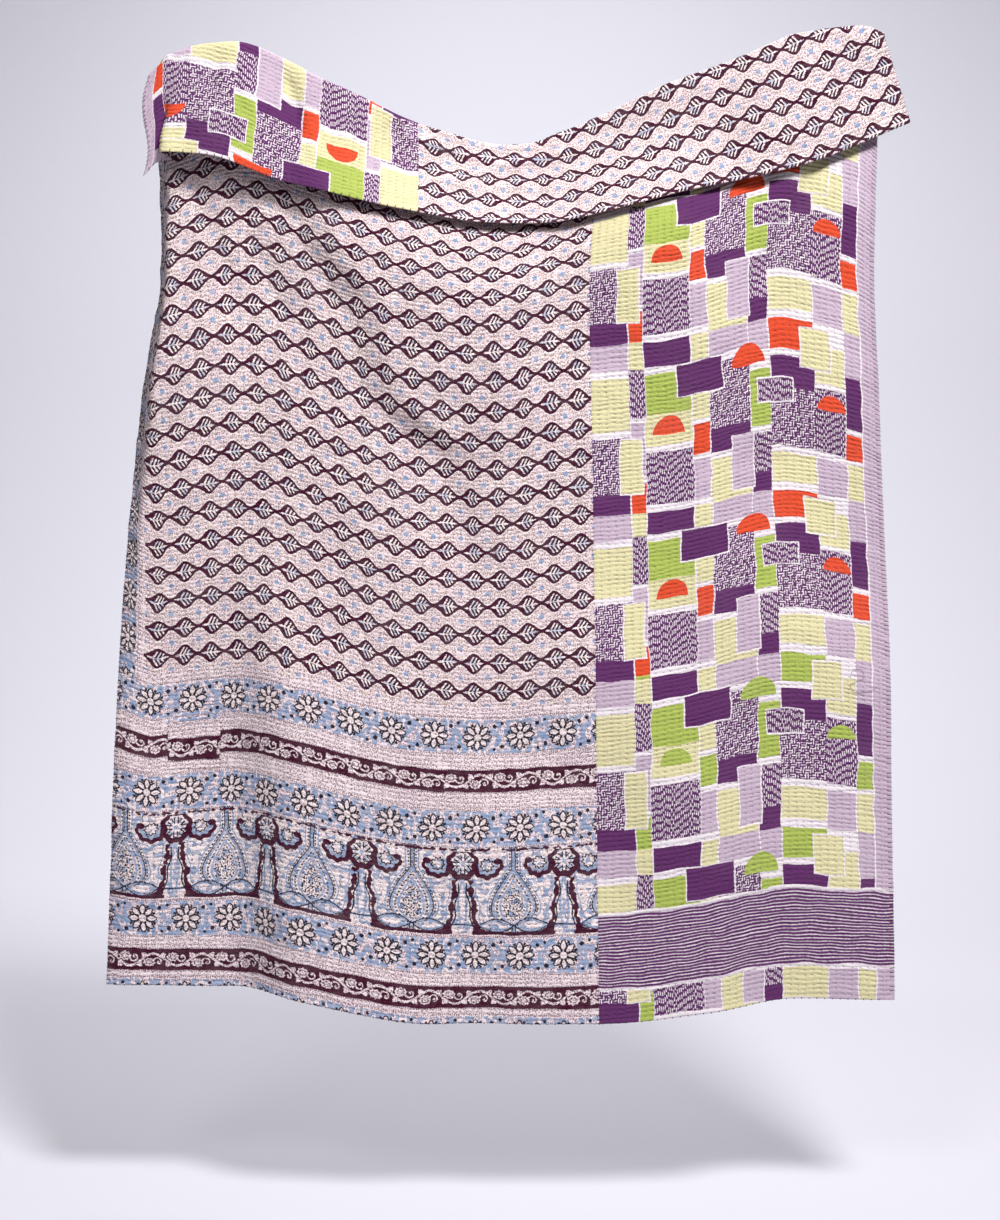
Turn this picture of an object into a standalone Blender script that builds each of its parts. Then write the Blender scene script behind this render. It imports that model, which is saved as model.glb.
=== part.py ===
"""A kantha quilt that hangs from its top edge, which is folded forward over two held places.

Two covers are quilted together. Each is a wide block-printed panel and a narrow geometric
panel, sewn side by side, and on the back cover they change sides. Metres, +Z up, the front
face towards -Y. The origin is the middle of the top fold.
"""

import math

import bmesh
import bpy
import numpy as np

# The quilt laid flat, measured across from the left edge and up from the bottom hem
QUILT_WIDTH = 1.425
QUILT_LENGTH = 1.91
BLOCK_PANEL_WIDTH = 0.885
FRONT_SEAM = BLOCK_PANEL_WIDTH
BACK_SEAM = QUILT_WIDTH - BLOCK_PANEL_WIDTH

# Thickness of each cover, the rise of its quilted ridges, and the gaps between the pieces
COVER = 0.001
QUILTING_RISE = 0.0005
BETWEEN_COVERS = 0.0003
SEAM_GAP = 0.0003

# How finely the cloth is divided: rows up the body, over the fold and down the flap, and
# columns left of the back seam, between the seams and right of the front seam
BODY_ROWS, ROLL_ROWS, FLAP_ROWS = 42, 6, 5
COLUMNS = (14, 8, 11)

# Sections of the hanging body, from the bottom hem up. Each row: share of the way up; across
# places of the left edge, the front seam and the right edge; height at the left edge, how far
# the middle hangs below it, height at the right edge; how far the left edge curls back
SECTION_NAMES = ("share", "left", "seam", "right", "left_z", "sag", "right_z", "curl")
SECTIONS = (
    (0.00, -0.708, 0.163, 0.683, -1.481, 0.050, -1.498, 0.010),
    (0.35, -0.672, 0.158, 0.678, -0.895, 0.059, -0.892, 0.045),
    (0.62, -0.654, 0.153, 0.663, -0.452, 0.065, -0.456, 0.080),
    (0.77, -0.627, 0.148, 0.653, -0.195, 0.070, -0.190, 0.120),
    (1.00, -0.628, 0.179, 0.669, 0.000, 0.000, 0.000, 0.060),
)
SAG_STARTS, SAG_FULL = -0.469, -0.115
RISE_STARTS, RISE_FULL = 0.150, 0.520
CURL_WIDTH = 0.032

# The line of the top fold: across, height
FOLD_LINE = (
    (-0.628, 0.136),
    (-0.602, 0.161),
    (-0.531, 0.182),
    (-0.478, 0.188),
    (-0.313, 0.121),
    (-0.137, 0.053),
    (0.000, 0.025),
    (0.040, 0.027),
    (0.101, 0.048),
    (0.264, 0.115),
    (0.420, 0.169),
    (0.522, 0.204),
    (0.637, 0.214),
    (0.669, 0.202),
)
ROLL_RADIUS = 0.008

# Where the tables have the middle of the fold, which is the part's origin
FOLD_MIDDLE = (0.0, -0.0125, 0.025)

# The flap's hem: place along the cloth, across, height, and how far it stands off the body
FLAP_HEM = (
    (0.000, -0.640, -0.052, 0.050),
    (0.085, -0.592, -0.012, 0.050),
    (0.150, -0.528, -0.017, 0.050),
    (0.299, -0.387, -0.064, 0.042),
    (0.507, -0.186, -0.108, 0.030),
    (0.649, -0.044, -0.128, 0.028),
    (0.763, 0.071, -0.130, 0.028),
    (0.861, 0.168, -0.115, 0.026),
    (1.043, 0.345, -0.071, 0.022),
    (1.221, 0.522, -0.032, 0.020),
    (1.425, 0.715, 0.044, 0.020),
)
TUCK_START, TUCK_END, TUCK_DEPTH = 0.060, 0.095, 0.022

# Between the held places the top fold sags back, and the body leans out below it
HELD_DEPTH = -0.150
LEFT_HOLD, RIGHT_HOLD = -0.510, 0.610
LEAN_HEIGHT = 0.300

# Soft steps in the cloth. Each row: height, across place of the step, and how far the cloth
# right of it lies back from the cloth left of it
LEFT_DRAG_WIDTH = 0.085
LEFT_DRAG = (
    (-1.080, 0.000, 0.000),
    (-0.851, -0.009, -0.014),
    (-0.550, -0.097, -0.030),
    (-0.432, -0.216, -0.036),
    (-0.267, -0.262, -0.036),
    (-0.149, -0.333, -0.034),
    (0.000, -0.363, -0.020),
)
LOW_LEFT_WIDTH = 0.130
LOW_LEFT = (
    (-1.560, -0.420, -0.080),
    (-0.975, -0.430, -0.050),
    (-0.700, -0.425, -0.012),
    (-0.550, -0.425, 0.000),
)
RIGHT_DRAG_WIDTH = 0.140
RIGHT_DRAG = (
    (-1.560, 0.420, 0.045),
    (-0.800, 0.425, 0.035),
    (-0.320, 0.407, 0.035),
    (0.050, 0.345, 0.020),
)

# Slow waves of the cloth: width across, height up, shift, and depth
WAVES = (
    (0.310, 0.900, 1.0, 0.0035),
    (0.190, -1.300, 2.2, 0.0020),
    (0.520, 0.450, 4.0, 0.0030),
)

# A patch of the block print sewn on the front: its left, right, bottom and top places on the
# flat quilt, its gap from the panel below it, and how finely it is divided
PATCH = (0.098, 0.192, 0.386, 0.480)
PATCH_GAP = 0.0006
PATCH_ROWS, PATCH_COLUMNS = 9, 9

# Cover colours, as they look from a few steps away
PRINT_COLOURS = {
    "block_print": (0.62, 0.55, 0.56, 1.0),
    "geometric": (0.46, 0.35, 0.45, 1.0),
}
SAMPLES = 240


def smooth(low, high, value):
    """0 below low, 1 above high, and an even bend between them."""
    share = np.clip((value - low) / (high - low), 0.0, 1.0)
    return share * share * (3.0 - 2.0 * share)


def through(places, values, at):
    """A curve through the given values that doesn't overshoot them."""
    places = np.asarray(places, float)
    values = np.asarray(values, float)
    step = np.diff(places)
    slope = np.diff(values) / step
    tangent = np.zeros_like(values)
    tangent[0], tangent[-1] = slope[0], slope[-1]
    turns_not = slope[:-1] * slope[1:] > 0
    before, after = slope[:-1][turns_not], slope[1:][turns_not]
    tangent[1:-1][turns_not] = 2.0 * before * after / (before + after)
    at = np.clip(at, places[0], places[-1])
    span = np.clip(np.searchsorted(places, at, side="right") - 1, 0, len(step) - 1)
    share = (at - places[span]) / step[span]
    rest = 1.0 - share
    bend = rest * tangent[span] - share * tangent[span + 1]
    even = values[span] + (values[span + 1] - values[span]) * share**2 * (3.0 - 2.0 * share)
    return even + step[span] * share * rest * bend


def fold_height(x):
    across, height = zip(*FOLD_LINE)
    return through(across, height, x)


def step_depth(table, width, x, z):
    """Depth of the cloth across one soft step."""
    height, across, depth = zip(*table)
    middle = through(height, across, z)
    return through(height, depth, z) * smooth(middle - width / 2, middle + width / 2, x)


def depth(x, z):
    """How far back the hanging cloth lies at a place seen from the front."""
    span = np.clip((x - LEFT_HOLD) / (RIGHT_HOLD - LEFT_HOLD), 0.0, 1.0)
    sagging = np.sin(math.pi * span) ** 2
    near_fold = 1.0 - smooth(0.0, LEAN_HEIGHT, fold_height(x) - z)
    y = HELD_DEPTH * (1.0 - sagging * near_fold)
    y = y + step_depth(LEFT_DRAG, LEFT_DRAG_WIDTH, x, z)
    y = y + step_depth(LOW_LEFT, LOW_LEFT_WIDTH, x, z)
    y = y + step_depth(RIGHT_DRAG, RIGHT_DRAG_WIDTH, x, z)
    calm = smooth(0.0, 0.10, fold_height(x) - z)
    for across, up, shift, size in WAVES:
        y = y + calm * size * np.sin(2.0 * math.pi * (x / across + z / up) + shift)
    return y


def section_height(section, x):
    """Height of one section's line at each place across."""
    if section["share"] == 1.0:
        return fold_height(x) - ROLL_RADIUS
    low = section["left_z"] - section["sag"]
    sagged = section["left_z"] - section["sag"] * smooth(SAG_STARTS, SAG_FULL, x)
    return sagged + (section["right_z"] - low) * smooth(RISE_STARTS, RISE_FULL, x)


def body_row(share, cloth_places):
    """Points of the body on one row, where each lies at its own place along the cloth."""
    sections = [dict(zip(SECTION_NAMES, row)) for row in SECTIONS]
    shares = [section["share"] for section in sections]
    edge = {
        name: float(through(shares, [section[name] for section in sections], share))
        for name in ("left", "seam", "right", "curl")
    }
    left_part = np.linspace(edge["left"], edge["seam"], SAMPLES)
    right_part = np.linspace(edge["seam"], edge["right"], SAMPLES)
    x = np.concatenate([left_part, right_part[1:]])
    lines = np.array([section_height(section, x) for section in sections])
    z = np.array([float(through(shares, line, share)) for line in lines.T])
    y = depth(x, z) + edge["curl"] * (1.0 - smooth(0.0, CURL_WIDTH, x - edge["left"]))
    run = np.sqrt(np.diff(x) ** 2 + np.diff(y) ** 2 + np.diff(z) ** 2)
    length = np.concatenate([[0.0], np.cumsum(run)])
    at_seam = length[SAMPLES - 1]
    left_share = length[:SAMPLES] / at_seam * FRONT_SEAM
    right_share = (length[SAMPLES:] - at_seam) / (length[-1] - at_seam)
    place = np.concatenate([left_share, FRONT_SEAM + right_share * (QUILT_WIDTH - FRONT_SEAM)])
    return np.stack([np.interp(cloth_places, place, axis) for axis in (x, y, z)], axis=1)


def roll_row(angle, top):
    """The body's top row turned forward over the fold by this angle."""
    row = top.copy()
    row[:, 1] += ROLL_RADIUS * (math.cos(angle) - 1.0)
    row[:, 2] += ROLL_RADIUS * math.sin(angle)
    return row


def flap_row(share, top, cloth_places):
    """Points of the flap on one row, this share of the way from the fold to its hem."""
    places, across, height, stand_off = zip(*FLAP_HEM)
    x = top[:, 0] + (through(places, across, cloth_places) - top[:, 0]) * share
    z = top[:, 2] + (through(places, height, cloth_places) - top[:, 2]) * share
    gap = 2.0 * ROLL_RADIUS * (1.0 - share) + through(places, stand_off, cloth_places) * share
    tuck = TUCK_DEPTH * share * (1.0 - smooth(TUCK_START, TUCK_END, cloth_places))
    return np.stack([x, depth(x, z) - gap + tuck, z], axis=1)


def cloth_rows(cloth_places):
    """The middle of the cloth as rows of points, from the bottom hem over the fold."""
    rows = [body_row(i / BODY_ROWS, cloth_places) for i in range(BODY_ROWS + 1)]
    top = rows[-1]
    rows += [roll_row(math.pi * i / ROLL_ROWS, top) for i in range(1, ROLL_ROWS + 1)]
    rows += [flap_row(i / FLAP_ROWS, top, cloth_places) for i in range(1, FLAP_ROWS + 1)]
    return np.array(rows) - FOLD_MIDDLE


def front_normals(points, cloth_places):
    """Directions out of the cloth's front face."""
    up = np.gradient(points, axis=0)
    across = np.gradient(points, cloth_places, axis=1)
    normal = np.cross(across, up)
    return normal / np.linalg.norm(normal, axis=2, keepdims=True)


def grid_triangles(rows, columns, start):
    """Triangles of a grid whose points are numbered from start, row by row."""
    corner = start + np.arange(rows - 1)[:, None] * columns + np.arange(columns - 1)
    a, b, c, d = corner, corner + 1, corner + columns + 1, corner + columns
    return np.stack([a, b, c, a, c, d], axis=-1).reshape(-1, 3)


def rim_triangles(outer, inner):
    """Triangles that close the edge between two matching closed loops of points."""
    a, b = np.array(outer), np.roll(outer, -1)
    c, d = np.array(inner), np.roll(inner, -1)
    return np.stack([a, b, d, a, d, c], axis=-1).reshape(-1, 3)


def loop_of(rows, columns, start):
    """The point numbers round the edge of a grid."""
    number = start + np.arange(rows * columns).reshape(rows, columns)
    sides = (number[0, :-1], number[:-1, -1], number[-1, :0:-1], number[:0:-1, 0])
    return np.concatenate(sides)


def printed_material(name):
    material = bpy.data.materials.new(name)
    material.use_nodes = True
    shader = material.node_tree.nodes["Principled BSDF"]
    shader.inputs["Base Color"].default_value = PRINT_COLOURS[name]
    shader.inputs["Roughness"].default_value = 0.9
    shader.inputs["Metallic"].default_value = 0.0
    material.diffuse_color = PRINT_COLOURS[name]
    return material


def make_slab(name, outer, inner, material):
    """A closed slab between two grids of points."""
    rows, columns = outer.shape[:2]
    count = rows * columns
    faces = np.concatenate([
        grid_triangles(rows, columns, 0),
        grid_triangles(rows, columns, count)[:, ::-1],
        rim_triangles(loop_of(rows, columns, 0), loop_of(rows, columns, count)),
    ])
    mesh = bpy.data.meshes.new(name)
    corners = np.concatenate([outer.reshape(-1, 3), inner.reshape(-1, 3)])
    mesh.from_pydata(corners.tolist(), [], faces.tolist())
    shape = bmesh.new()
    shape.from_mesh(mesh)
    bmesh.ops.recalc_face_normals(shape, faces=shape.faces)
    shape.to_mesh(mesh)
    shape.free()
    mesh.materials.append(material)
    mesh.shade_smooth()
    mesh.set_sharp_from_angle(angle=math.radians(50))
    bpy.context.scene.collection.objects.link(bpy.data.objects.new(name, mesh))


def make_panel(name, points, normals, side, material):
    """One printed panel on the front (1) or back (-1) of the cloth. Gives its outer points."""
    ridge = np.where(np.arange(len(points)) % 2 == 1, QUILTING_RISE, 0.0)
    ridge[[0, -1]] = 0.0
    inner = points + side * normals * BETWEEN_COVERS / 2
    outer = inner + side * normals * (COVER + ridge[:, None, None])
    make_slab(name, outer, inner, material)
    return outer


def make_patch(name, panel, cloth_places, normals, material):
    """The small patch that lies on the front panel's outer points."""
    left, right, bottom, top = PATCH
    across = np.linspace(left, right, PATCH_COLUMNS)
    column = np.interp(across, cloth_places, np.arange(len(cloth_places)))
    run = np.linalg.norm(np.diff(panel[: BODY_ROWS + 1], axis=0), axis=2)
    height = np.vstack([np.zeros(panel.shape[1]), np.cumsum(run, axis=0)]).mean(axis=1)
    row = np.interp(np.linspace(bottom, top, PATCH_ROWS), height, np.arange(len(height)))

    def between(grid):
        low_row, low_column = row.astype(int)[:, None], column.astype(int)[None, :]
        up, along = (row[:, None] - low_row)[..., None], (column[None, :] - low_column)[..., None]
        lower = grid[low_row, low_column] * (1 - along) + grid[low_row, low_column + 1] * along
        upper = grid[low_row + 1, low_column] * (1 - along)
        upper = upper + grid[low_row + 1, low_column + 1] * along
        return lower * (1 - up) + upper * up

    outward = between(normals)
    inner = between(panel) + outward * PATCH_GAP
    make_slab(name, inner + outward * COVER, inner, material)


def panel_points(points, first, last, seam_side):
    """The columns of one panel, drawn in by half the seam's gap where it meets its neighbour."""
    part = points[:, first : last + 1].copy()
    if seam_side == "right":
        along = points[:, last + 1] - points[:, last]
        part[:, -1] -= SEAM_GAP / 2 * along / np.linalg.norm(along, axis=1, keepdims=True)
    else:
        along = points[:, first + 1] - points[:, first]
        part[:, 0] += SEAM_GAP / 2 * along / np.linalg.norm(along, axis=1, keepdims=True)
    return part


def main():
    for old in list(bpy.data.objects):
        bpy.data.objects.remove(old)
    borders = (0.0, BACK_SEAM, FRONT_SEAM, QUILT_WIDTH)
    spans = zip(borders, borders[1:], COLUMNS)
    parts = [np.linspace(low, high, count, endpoint=False) for low, high, count in spans]
    cloth_places = np.append(np.concatenate(parts), QUILT_WIDTH)
    points = cloth_rows(cloth_places)
    normals = front_normals(points, cloth_places)
    back_seam, front_seam = COLUMNS[0], COLUMNS[0] + COLUMNS[1]
    last = sum(COLUMNS)
    block_print = printed_material("block_print")
    geometric = printed_material("geometric")
    panels = (
        ("front_block_print", 0, front_seam, "right", 1, block_print),
        ("front_geometric", front_seam, last, "left", 1, geometric),
        ("back_geometric", 0, back_seam, "right", -1, geometric),
        ("back_block_print", back_seam, last, "left", -1, block_print),
    )
    outer = {}
    for name, start, end, seam_side, side, material in panels:
        placed = panel_points(points, start, end, seam_side)
        outer[name] = make_panel(name, placed, normals[:, start : end + 1], side, material)
    make_patch("front_patch", outer["front_block_print"], cloth_places, normals, block_print)


main()
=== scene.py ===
"""Looks for the hanging kantha quilt: fine cloth, prints, stitches, studio and camera."""

import math

import bpy
import numpy as np
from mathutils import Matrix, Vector


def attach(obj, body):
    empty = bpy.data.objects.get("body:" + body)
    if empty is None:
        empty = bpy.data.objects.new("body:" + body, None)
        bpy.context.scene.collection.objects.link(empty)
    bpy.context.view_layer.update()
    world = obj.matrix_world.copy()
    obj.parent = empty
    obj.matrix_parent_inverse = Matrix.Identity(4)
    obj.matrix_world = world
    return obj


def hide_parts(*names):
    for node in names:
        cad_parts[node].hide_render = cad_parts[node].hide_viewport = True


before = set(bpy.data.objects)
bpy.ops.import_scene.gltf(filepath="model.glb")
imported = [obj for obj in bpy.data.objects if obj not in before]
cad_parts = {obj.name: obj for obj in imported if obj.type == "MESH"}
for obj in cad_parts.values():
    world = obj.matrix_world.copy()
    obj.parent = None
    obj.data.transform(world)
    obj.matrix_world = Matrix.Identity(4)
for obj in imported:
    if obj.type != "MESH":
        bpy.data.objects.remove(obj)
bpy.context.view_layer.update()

# The quilt laid flat, as the part has it: across from the left edge, up from the bottom hem
QUILT_WIDTH = 1.425
QUILT_LENGTH = 1.91
BLOCK_PANEL_WIDTH = 0.885
FRONT_SEAM = BLOCK_PANEL_WIDTH
BACK_SEAM = QUILT_WIDTH - BLOCK_PANEL_WIDTH
COVER = 0.001
BETWEEN_COVERS = 0.0003

# How the cloth hangs, close to the part's tables
SECTION_NAMES = ("share", "left", "seam", "right", "left_z", "sag", "right_z", "curl")
SECTIONS = (
    (0.00, -0.708, 0.163, 0.683, -1.481, 0.050, -1.498, 0.010),
    (0.35, -0.685, 0.158, 0.678, -0.895, 0.059, -0.892, 0.012),
    (0.62, -0.656, 0.153, 0.663, -0.452, 0.065, -0.456, 0.066),
    (0.77, -0.627, 0.148, 0.653, -0.195, 0.070, -0.190, 0.120),
    (1.00, -0.628, 0.179, 0.669, 0.000, 0.000, 0.000, 0.060),
)
SAG_STARTS, SAG_FULL = -0.469, -0.115
RISE_STARTS, RISE_FULL = 0.150, 0.520
CURL_WIDTH = 0.032

# The fold's line across and up, and the flap's hem: place along it, across, up, and how far it
# stands off the body
FOLD_LINE = (
    (-0.628, 0.136),
    (-0.602, 0.161),
    (-0.531, 0.182),
    (-0.478, 0.188),
    (-0.313, 0.121),
    (-0.137, 0.053),
    (0.000, 0.025),
    (0.040, 0.027),
    (0.101, 0.048),
    (0.264, 0.115),
    (0.420, 0.169),
    (0.522, 0.204),
    (0.637, 0.214),
    (0.669, 0.202),
)
ROLL_RADIUS = 0.008
FOLD_MIDDLE = (0.0, -0.0125, 0.025)
FLAP_HEM = (
    (0.000, -0.640, -0.052, 0.050),
    (0.085, -0.592, -0.012, 0.050),
    (0.150, -0.528, -0.017, 0.050),
    (0.299, -0.387, -0.064, 0.042),
    (0.507, -0.186, -0.108, 0.030),
    (0.649, -0.044, -0.128, 0.028),
    (0.763, 0.071, -0.130, 0.028),
    (0.861, 0.168, -0.115, 0.026),
    (1.043, 0.345, -0.071, 0.022),
    (1.221, 0.522, -0.032, 0.020),
    (1.425, 0.715, 0.044, 0.020),
)
TUCK_START, TUCK_END, TUCK_DEPTH = 0.068, 0.104, 0.022

# The flap's left end laps over itself: where the cloth turns back and where it comes forward
# again, how wide each turn is, how far they are pushed apart across and, as a share of that,
# in depth, and where on the way down this starts and is full
LAP_BACK, LAP_FRONT, LAP_WIDTH, LAP_PUSH, LAP_DEEP = 0.060, 0.092, 0.014, 0.017, 0.5
LAP_STARTS, LAP_FULL = 0.30, 0.90
EDGE_WAVE, EDGE_HALF_TURNS = 0.008, 1.9
FLAP_CREASES_FULL = 0.2
HELD_DEPTH = -0.150
LEFT_HOLD, RIGHT_HOLD = -0.510, 0.610
LEAN_HEIGHT = 0.300
CALM_HEIGHT = 0.10

# Soft steps that drag folds leave in the cloth: the width of each, and then, from the bottom up,
# its height, its place across and how deep it is
LEFT_DRAG = (
    0.085,
    (-1.080, 0.000, 0.000),
    (-0.851, -0.009, -0.014),
    (-0.550, -0.097, -0.024),
    (-0.432, -0.216, -0.029),
    (-0.267, -0.262, -0.034),
    (-0.149, -0.333, -0.034),
    (0.000, -0.363, -0.020),
)
LOW_LEFT = (
    0.130,
    (-1.560, -0.420, -0.080),
    (-0.975, -0.430, -0.050),
    (-0.700, -0.425, -0.012),
    (-0.550, -0.425, 0.000),
)
RIGHT_DRAG = (
    0.140,
    (-1.560, 0.420, 0.045),
    (-0.800, 0.425, 0.035),
    (-0.320, 0.407, 0.035),
    (0.050, 0.345, 0.020),
)

# Long waves of the body: length across and up, shift, and size
WAVES = (
    (0.310, 0.900, 1.0, 0.0035),
    (0.190, -1.300, 2.2, 0.0020),
    (0.520, 0.450, 4.0, 0.0030),
)
BODY_ROWS, ROLL_ROWS, FLAP_ROWS = 320, 16, 60
SAMPLES = 240

# Rows of running stitches, how the cloth swells between them, and its rounded rim and seams
ROW_PITCH = 0.008
STITCH_PITCH = 0.0136
ROWS_PER_PITCH = 3
PUFF = (-0.00060, 0.00045, 0.00045)
DIMPLE = 0.00030
RIM = 0.0022
RIM_STEPS = np.array([0.0, 0.0005, 0.0015])
SEAM_DROP, SEAM_REACH = 0.0007, 0.0016
SEAM_STEPS = np.array([-SEAM_REACH, -0.0007, 0.0, 0.0007, SEAM_REACH])
CLOSEST_COLUMNS = 0.0004
ROUND_OFF = 1e-6

# Layers of soft randomness: how strong each is, how large its patches are across and up, and its
# seed. WANDER moves the rows of stitches along the cloth, CRUMPLE moves the cloth in depth and
# PUFF_UNEVEN, whose seed is another on each face, changes how much it swells
WANDER = (
    (0.0016, 0.110, 0.030, 3),
    (0.0013, 0.0136, 0.022, 4),
    (0.0016, 0.055, 0.016, 8),
)
CRUMPLE = (
    (0.0016, 0.060, 0.045, 5),
    (0.0008, 0.030, 0.014, 6),
)
CALM_EDGE = 0.012
PUFF_STRENGTH, PUFF_SEED = 0.9, 7
PUFF_UNEVEN = (0.45, 0.035, 0.016)

# The sewn-on patch: its left, right, bottom and top places on the flat quilt, how high it lies
# on the panel, how far its print is out of step, how its edge drops and wanders, and how much
# its map for baking is enlarged
PATCH = (0.098, 0.192, 0.386, 0.480)
PATCH_LIFT = 0.0012
PATCH_PRINT_SHIFT = (0.004, 0.010)
PATCH_EDGE_DROP = 0.95
PATCH_RAGGED = ((0.0012, 0.020, 0.020, 31),)
PATCH_BAKE_SCALE = 10.0

# The patch's grid inside its rim: how far in it starts and ends, and its pitch
PATCH_COLUMNS = (0.0040, 0.0030, 0.0034)
PATCH_ROWS = (0.0030, 0.0022, 0.0020)

# Camera and floor
CAMERA_PLACE = (-0.009, -4.0375, -0.664)
CAMERA_LENS = 65.0
HORIZON_SHIFT = -100.0 / 1220.0
FLOOR_HEIGHT = -1.90


def smooth(low, high, value):
    """0 below low, 1 above high, and an even bend between them."""
    share = np.clip((value - low) / (high - low), 0.0, 1.0)
    return share * share * (3.0 - 2.0 * share)


def through(places, values, at):
    """A curve through the given values that doesn't overshoot them."""
    places = np.asarray(places, float)
    values = np.asarray(values, float)
    step = np.diff(places)
    slope = np.diff(values, axis=0) / step.reshape(-1, *[1] * (values.ndim - 1))
    product = slope[:-1] * slope[1:]
    total = np.where(product > 0, slope[:-1] + slope[1:], 1.0)
    tangent = np.zeros_like(values)
    tangent[0], tangent[-1] = slope[0], slope[-1]
    tangent[1:-1] = np.where(product > 0, 2.0 * product / total, 0.0)
    at = np.clip(at, places[0], places[-1])
    span = np.clip(np.searchsorted(places, at, side="right") - 1, 0, len(step) - 1)
    share = (at - places[span]) / step[span]
    rest = 1.0 - share
    bend = rest * tangent[span] - share * tangent[span + 1]
    even = values[span] + (values[span + 1] - values[span]) * share**2 * (3.0 - 2.0 * share)
    return even + step[span] * share * rest * bend


def soft_noise(across, up, across_size, up_size, seed):
    """Smooth random values from -1 to 1, in patches of the given size."""
    random = np.random.default_rng(seed)
    a, b = across / across_size + 40.0, up / up_size + 40.0
    grid = random.uniform(-1.0, 1.0, (int(b.max()) + 3, int(a.max()) + 3))
    i, j = b.astype(int), a.astype(int)
    v, u = smooth(0.0, 1.0, b - i), smooth(0.0, 1.0, a - j)
    low = grid[i, j] * (1 - u) + grid[i, j + 1] * u
    high = grid[i + 1, j] * (1 - u) + grid[i + 1, j + 1] * u
    return low * (1 - v) + high * v


def layered_noise(layers, across, up):
    """Sum of layers of soft noise."""
    return sum(size * soft_noise(across, up, *patches) for size, *patches in layers)


def edge_distance(across, up, left, right, bottom, top):
    """Distance of places on the flat cloth from the nearest of four edges."""
    beside = np.minimum(across - left, right - across)
    return np.minimum(beside, np.minimum(up - bottom, top - up))


def unit(vectors):
    """The same directions, each 1 long."""
    return vectors / np.linalg.norm(vectors, axis=-1, keepdims=True)


def fold_height(x):
    across, height = zip(*FOLD_LINE)
    return through(across, height, x)


def step_depth(step, x, z):
    """Depth of the cloth across one soft step."""
    width, *rows = step
    height, across, depth = zip(*rows)
    middle = through(height, across, z)
    return through(height, depth, z) * smooth(middle - width / 2, middle + width / 2, x)


def depth(x, z):
    """How far back the hanging cloth lies at a place seen from the front."""
    span = np.clip((x - LEFT_HOLD) / (RIGHT_HOLD - LEFT_HOLD), 0.0, 1.0)
    sagging = np.sin(math.pi * span) ** 2
    near_fold = 1.0 - smooth(0.0, LEAN_HEIGHT, fold_height(x) - z)
    y = HELD_DEPTH * (1.0 - sagging * near_fold)
    for step in (LEFT_DRAG, LOW_LEFT, RIGHT_DRAG):
        y = y + step_depth(step, x, z)
    calm = smooth(0.0, CALM_HEIGHT, fold_height(x) - z)
    for across, up, shift, size in WAVES:
        y = y + calm * size * np.sin(2.0 * math.pi * (x / across + z / up) + shift)
    return y


# Creases of the body and of the flap, seen from the front. Each row: where it starts, across and
# height, where it ends, its width, and its depth, which is more than 0 for a valley. It fades in
# and out between these shares of its length
CREASE_FADE = (-0.3, 0.2, 0.5, 1.2)
CREASES = (
    (-0.560, -0.020, -0.470, -0.300, 0.020, 0.007),
    (-0.500, -0.060, -0.330, -0.420, 0.026, 0.006),
    (0.560, -0.020, 0.430, -0.260, 0.016, 0.008),
    (0.520, 0.010, 0.370, -0.150, 0.014, 0.006),
    (0.600, -0.060, 0.560, -0.380, 0.020, 0.005),
    (0.330, -0.060, 0.250, -0.330, 0.018, -0.005),
    (0.390, -0.300, 0.400, -0.900, 0.024, 0.005),
    (-0.150, -0.250, 0.050, -0.700, 0.030, -0.002),
)
FLAP_CREASES = (
    (-0.500, 0.175, -0.525, 0.080, 0.012, 0.010),
    (-0.470, 0.180, -0.430, 0.030, 0.014, -0.005),
    (0.600, 0.195, 0.640, 0.060, 0.016, 0.004),
    (0.560, 0.190, 0.520, 0.050, 0.020, -0.004),
    (-0.390, 0.150, -0.350, -0.020, 0.012, 0.011),
    (-0.290, 0.110, -0.270, -0.040, 0.018, -0.010),
    (-0.210, 0.080, -0.170, -0.060, 0.012, 0.010),
    (-0.160, 0.030, 0.010, -0.012, 0.012, -0.010),
    (-0.010, -0.014, 0.190, 0.030, 0.012, -0.009),
    (-0.120, -0.050, 0.140, -0.056, 0.013, -0.009),
)


def creases(table, x, z):
    """Depth of a table's creases at a place seen from the front."""
    y = np.zeros_like(x)
    for x0, z0, x1, z1, width, deep in table:
        run = math.hypot(x1 - x0, z1 - z0)
        along = ((x - x0) * (x1 - x0) + (z - z0) * (z1 - z0)) / run
        off = ((x - x0) * (z1 - z0) - (z - z0) * (x1 - x0)) / run
        a, b, c, d = (share * run for share in CREASE_FADE)
        fade = smooth(a, b, along) * (1.0 - smooth(c, d, along))
        y += deep * fade * np.exp(-((off / width) ** 2))
    return y


def section_height(section, x):
    """Height of one section's line at each place across."""
    if section["share"] == 1.0:
        return fold_height(x) - ROLL_RADIUS
    low = section["left_z"] - section["sag"]
    sagged = section["left_z"] - section["sag"] * smooth(SAG_STARTS, SAG_FULL, x)
    return sagged + (section["right_z"] - low) * smooth(RISE_STARTS, RISE_FULL, x)


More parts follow.
